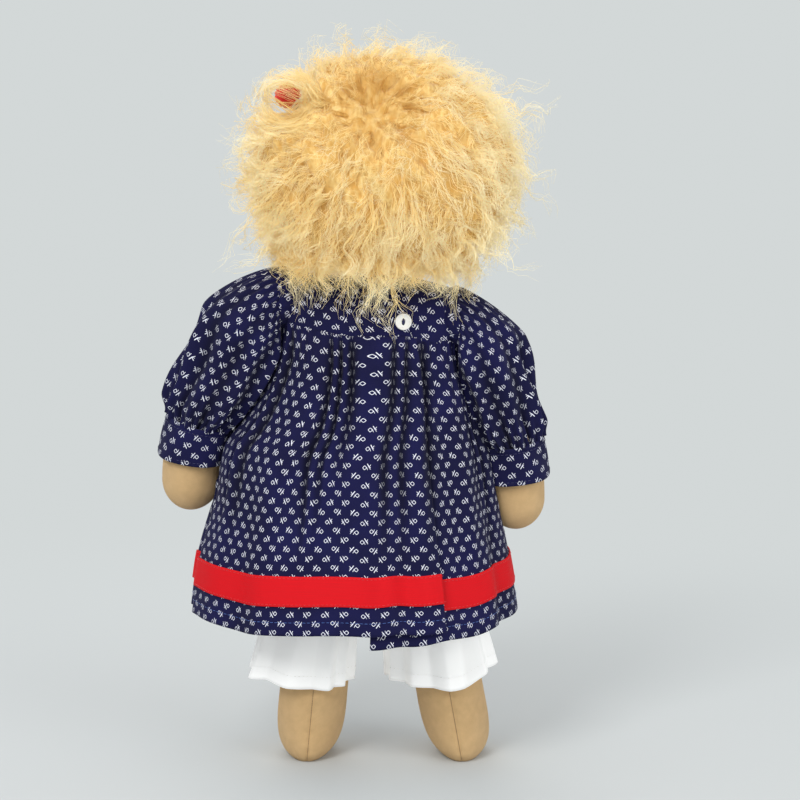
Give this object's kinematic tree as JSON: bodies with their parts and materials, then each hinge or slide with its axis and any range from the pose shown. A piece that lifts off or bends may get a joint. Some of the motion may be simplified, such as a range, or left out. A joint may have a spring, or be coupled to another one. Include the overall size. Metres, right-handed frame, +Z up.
{
  "type": "rag doll",
  "caption": "Stuffed cloth doll with a curly mohair wig, printed cotton dress, pleated pantaloons, and a head, arms and legs that turn or swing.",
  "frame": {"origin": "on the floor, under the middle of the doll's outline", "axes": "+Z up through the head, -Y the way the doll faces, +X the doll's own left"},
  "size_m": [0.222, 0.1538, 0.4024],
  "materials": {
    "jersey": "matt tan jersey knit",
    "cotton_print": "navy plain-weave cotton with a small white sprig print",
    "white_cotton": "white plain-weave cotton",
    "ribbon": "red woven ribbon with a soft sheen",
    "mohair": "loose golden mohair curls",
    "cap_knit": "fine golden knit",
    "red_yarn": "crocheted red cotton yarn",
    "white_thread": "white cotton thread",
    "pearl": "pearly white, glossy",
    "eye_thread": "blue satin stitch",
    "mouth_thread": "red stem stitch",
    "elastic": "white covered elastic"
  },
  "bodies": {
    "torso": {"torso": "jersey", "front_yoke": "cotton_print", "back_yoke_left": "cotton_print", "back_yoke_right": "cotton_print", "neckband": "cotton_print", "skirt_front": "cotton_print", "skirt_back_left": "cotton_print", "skirt_back_right": "cotton_print", "ribbon_front": "ribbon", "ribbon_back_left": "ribbon", "ribbon_back_right": "ribbon", "button": "pearl", "button_thread": "white_thread", "pantaloon_seat": "white_cotton", "waist_elastic": "white_cotton"},
    "neck": {"neck": "jersey", "neck_tie": "white_thread"},
    "head": {"head": "jersey", "eye_left": "eye_thread", "eye_right": "eye_thread", "mouth": "mouth_thread", "wig_cap": "cap_knit", "hair": "mohair", "hair_nape": "mohair", "hair_bobble": "red_yarn", "bobble_elastic": "elastic"},
    "arm_left": {"arm_left": "jersey", "sleeve_left": "cotton_print", "cuff_left": "cotton_print"},
    "arm_right": {"arm_right": "jersey", "sleeve_right": "cotton_print", "cuff_right": "cotton_print"},
    "leg_left": {"leg_left": "jersey", "pantaloon_leg_left": "white_cotton"},
    "leg_right": {"leg_right": "jersey", "pantaloon_leg_right": "white_cotton"}
  },
  "joints": [
    {"name": "head_turn", "type": "hinge", "parent": "torso", "child": "neck", "pos_m": [-0.01306, -0.00092, 0.2723], "axis": [0, 0, 1], "range_deg": [-40, 40], "deforming": ["neck", "hair_nape"]},
    {"name": "head_nod", "type": "hinge", "parent": "neck", "child": "head", "pos_m": [-0.01306, -0.00092, 0.2848], "axis": [1, 0, 0], "range_deg": [-15, 18], "deforming": ["neck", "hair_nape"]},
    {"name": "arm_left_swing", "type": "hinge", "parent": "torso", "child": "arm_left", "pos_m": [0.04894, -0.00092, 0.26374], "axis": [-1, 0, 0], "range_deg": [-40, 100], "deforming": ["sleeve_left", "skirt_front", "skirt_back_left", "ribbon_front", "ribbon_back_left"]},
    {"name": "arm_right_swing", "type": "hinge", "parent": "torso", "child": "arm_right", "pos_m": [-0.06706, -0.00092, 0.25262], "axis": [-1, 0, 0], "range_deg": [-40, 100], "deforming": ["sleeve_right", "skirt_front", "skirt_back_right", "ribbon_front", "ribbon_back_right"]},
    {"name": "leg_left_swing", "type": "hinge", "parent": "torso", "child": "leg_left", "pos_m": [0.01244, -0.00092, 0.1511], "axis": [-1, 0, 0], "range_deg": [-20, 90], "deforming": ["pantaloon_leg_left", "pantaloon_seat", "skirt_front", "skirt_back_left", "skirt_back_right", "ribbon_front", "ribbon_back_left", "ribbon_back_right"]},
    {"name": "leg_right_swing", "type": "hinge", "parent": "torso", "child": "leg_right", "pos_m": [-0.03456, -0.00092, 0.1511], "axis": [-1, 0, 0], "range_deg": [-20, 90], "deforming": ["pantaloon_leg_right", "pantaloon_seat", "skirt_front", "skirt_back_left", "skirt_back_right", "ribbon_front", "ribbon_back_left", "ribbon_back_right"]}
  ]
}
